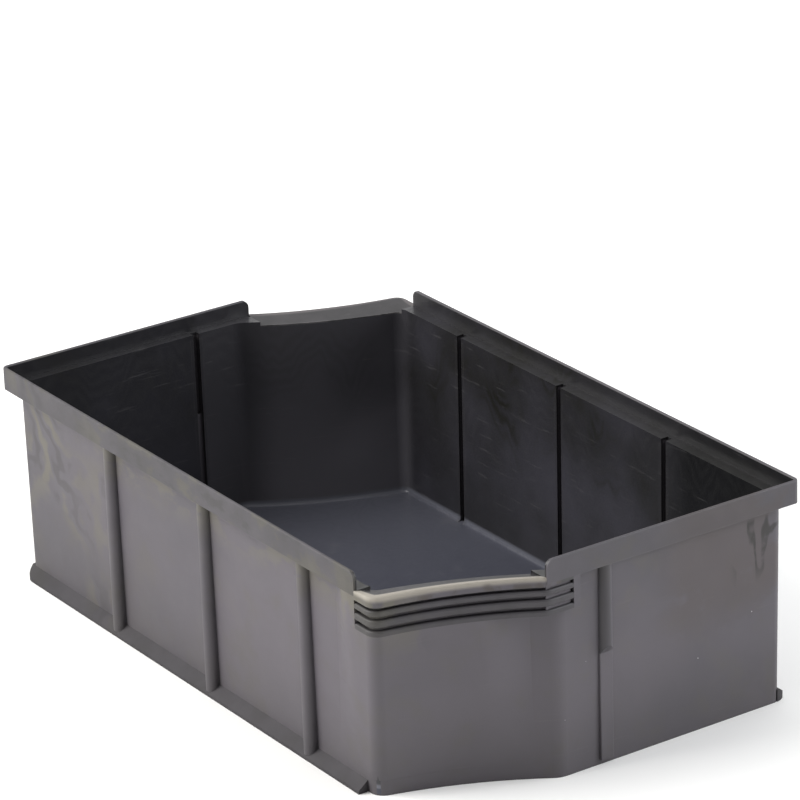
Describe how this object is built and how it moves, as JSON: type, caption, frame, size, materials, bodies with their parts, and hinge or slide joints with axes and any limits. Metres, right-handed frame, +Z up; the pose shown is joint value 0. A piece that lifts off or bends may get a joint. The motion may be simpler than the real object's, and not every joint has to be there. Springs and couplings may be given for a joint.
{
  "type": "stacking storage crate",
  "caption": "Open moulded plastic stacking crate with two cut, bowed corners for picking, a stacking collar, grip fins and divider slots.",
  "frame": {"origin": "middle of the footprint, on the surface that the crate stands on", "axes": "+X along the long sides, +Y along the short sides, +Z up; the pick openings are at the (+X, -Y) and (-X, +Y) corners"},
  "size_m": [0.5, 0.31, 0.16],
  "materials": {
    "crate_plastic": "matte, scuffed outside, smoother and darker inside, with flow marks of recycled plastic"
  },
  "bodies": {
    "root": {"back_foot_flange": "crate_plastic", "back_ledge": "crate_plastic", "back_rim": "crate_plastic", "back_slot_rib_1": "crate_plastic", "back_slot_rib_2": "crate_plastic", "back_slot_rib_3": "crate_plastic", "back_wall_panel_1": "crate_plastic", "back_wall_panel_2": "crate_plastic", "back_wall_panel_3": "crate_plastic", "back_wall_panel_4": "crate_plastic", "floor": "crate_plastic", "front_foot_flange": "crate_plastic", "front_ledge": "crate_plastic", "front_rim": "crate_plastic", "front_slot_rib_1": "crate_plastic", "front_slot_rib_2": "crate_plastic", "front_slot_rib_3": "crate_plastic", "front_wall_panel_1": "crate_plastic", "front_wall_panel_2": "crate_plastic", "front_wall_panel_3": "crate_plastic", "front_wall_panel_4": "crate_plastic", "left_back_corner_post": "crate_plastic", "left_back_grip_core": "crate_plastic", "left_back_grip_end": "crate_plastic", "left_back_grip_fin_1": "crate_plastic", "left_back_grip_fin_2": "crate_plastic", "left_back_grip_fin_3": "crate_plastic", "left_back_pick_lip": "crate_plastic", "left_back_pick_wall": "crate_plastic", "left_ledge": "crate_plastic", "left_rim": "crate_plastic", "left_slot_rib_lower": "crate_plastic", "left_slot_rib_upper": "crate_plastic", "left_wall_panel_1": "crate_plastic", "left_wall_panel_2": "crate_plastic", "right_front_corner_post": "crate_plastic", "right_front_grip_core": "crate_plastic", "right_front_grip_end": "crate_plastic", "right_front_grip_fin_1": "crate_plastic", "right_front_grip_fin_2": "crate_plastic", "right_front_grip_fin_3": "crate_plastic", "right_front_pick_lip": "crate_plastic", "right_front_pick_wall": "crate_plastic", "right_ledge": "crate_plastic", "right_rim": "crate_plastic", "right_slot_rib_lower": "crate_plastic", "right_slot_rib_upper": "crate_plastic", "right_wall_panel_1": "crate_plastic", "right_wall_panel_2": "crate_plastic"}
  },
  "joints": []
}
